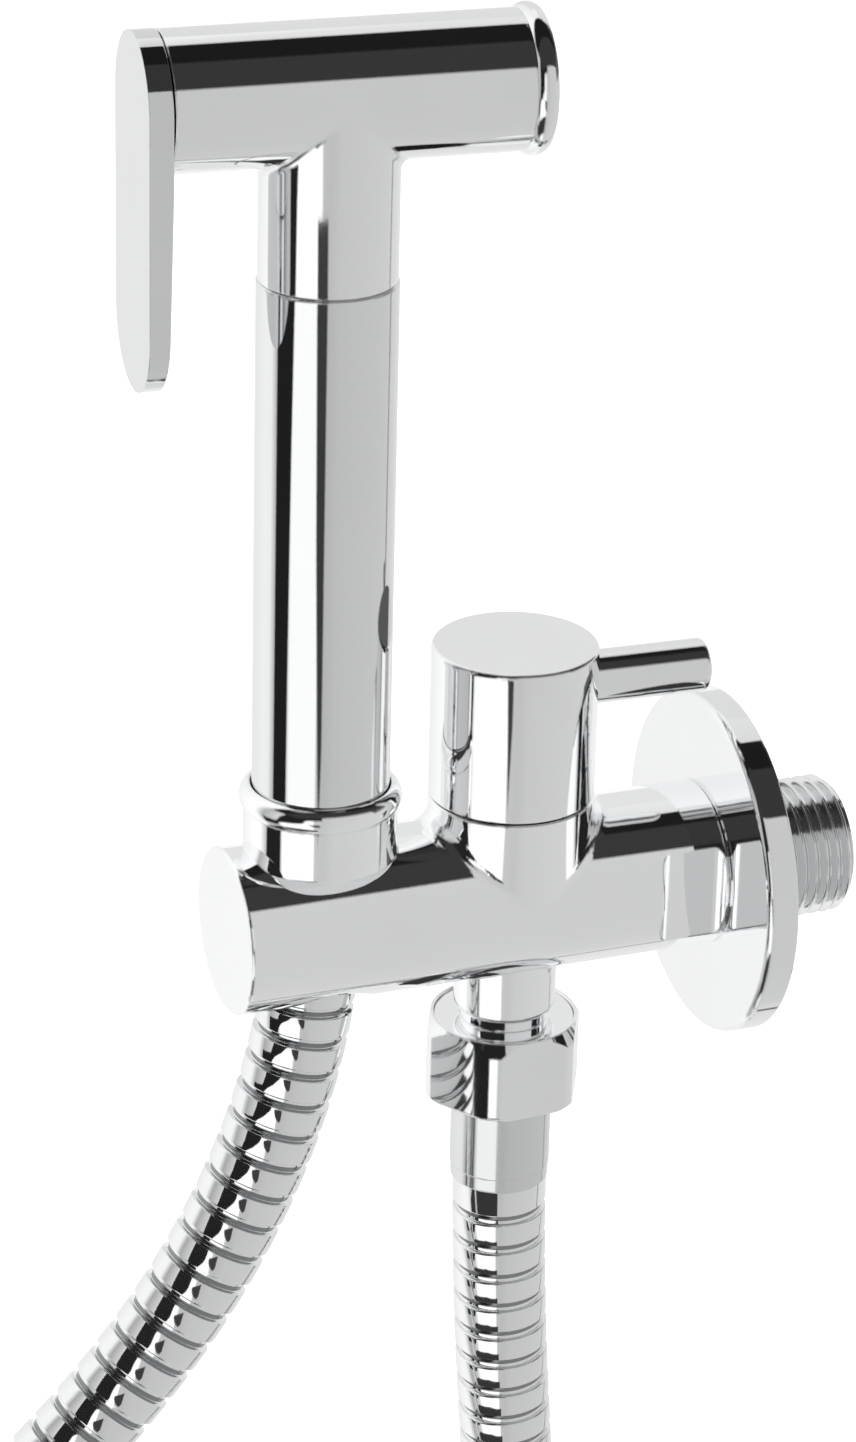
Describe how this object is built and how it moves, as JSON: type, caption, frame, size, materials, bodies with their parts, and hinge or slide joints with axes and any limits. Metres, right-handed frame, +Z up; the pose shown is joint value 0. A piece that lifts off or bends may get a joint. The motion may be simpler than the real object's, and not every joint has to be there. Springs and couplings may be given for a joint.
{
  "type": "bidet shower",
  "caption": "Wall-mounted bidet shower: round chrome valve body with lever knob, trigger handset upright in its holder, and a ribbed metal hose hanging in a loop.",
  "frame": {"origin": "on the inlet thread's axis, in the plane of the finished wall", "axes": "+Y into the wall along the inlet thread, -Y out into the room, +Z up, +X to the right of a person who faces the wall"},
  "size_m": [0.052, 0.2231, 0.5831],
  "materials": {
    "chrome": "polished",
    "hose_casing": "polished",
    "brass": "satin",
    "steel": "satin",
    "seal_rubber": "matte",
    "ceramic": "satin",
    "chromed_plastic": "polished",
    "nozzle_plastic": "satin"
  },
  "bodies": {
    "fixed_body": {"inlet_nipple": "chrome", "wall_rosette": "chrome", "valve_body": "chrome", "socket_sleeve": "chromed_plastic", "headwork_body": "brass", "headwork_o_ring": "seal_rubber", "seat_seal": "seal_rubber", "fixed_disc": "ceramic", "hose_nut": "chrome", "hose_washer": "seal_rubber", "hose_insert": "brass", "outlet_ferrule": "chrome", "shower_hose": "hose_casing"},
    "knob_body": {"moving_disc": "ceramic", "spindle": "brass", "spindle_o_ring": "seal_rubber", "spindle_clip": "steel", "knob": "chrome", "knob_lever": "chrome", "knob_screw": "steel"},
    "hose_end": {"hose_end_insert": "brass", "hose_end_ferrule": "chrome"},
    "handset": {"swivel_nut": "brass", "handset_washer": "seal_rubber", "handle_tube": "chrome", "head_body": "chrome", "hinge_pin": "steel", "valve_seat": "brass", "spray_rim": "chrome", "rim_washer": "seal_rubber", "spray_face": "nozzle_plastic", "stem_o_ring": "seal_rubber", "spring_washer": "steel", "return_spring": "steel"},
    "trigger": {"trigger_plate": "chrome"},
    "stem": {"valve_stem": "brass", "plug_seal": "seal_rubber"}
  },
  "joints": [
    {"name": "knob_turn", "type": "hinge", "parent": "fixed_body", "child": "knob_body", "pos_m": [0, -0.0352, 0.02], "axis": [0, 0, 1], "range_deg": [0, 90]},
    {"name": "handset_lift", "type": "slide", "parent": "fixed_body", "child": "hose_end", "axis": [0, 0, 1], "range_m": [0, 0.03], "deforming": ["shower_hose"]},
    {"name": "handset_turn", "type": "hinge", "parent": "hose_end", "child": "handset", "pos_m": [0, -0.0649, 0.02], "axis": [0, 0, 1], "continuous": true},
    {"name": "trigger_squeeze", "type": "hinge", "parent": "handset", "child": "trigger", "pos_m": [-0.00171, -0.08743, 0.11816], "axis": [0.9971, -0.0758, 0], "range_deg": [0, 10], "stiffness_Nm_per_rad": 0.06, "springref_deg": -45.84},
    {"name": "stem_slide", "type": "slide", "parent": "handset", "child": "stem", "axis": [0.0758, 0.9971, 0], "range_m": [-0.0012, 0], "deforming": ["return_spring"]}
  ],
  "couplings": [
    {"joint": "stem_slide", "follows": "trigger_squeeze", "m_per_rad": -0.00663}
  ]
}
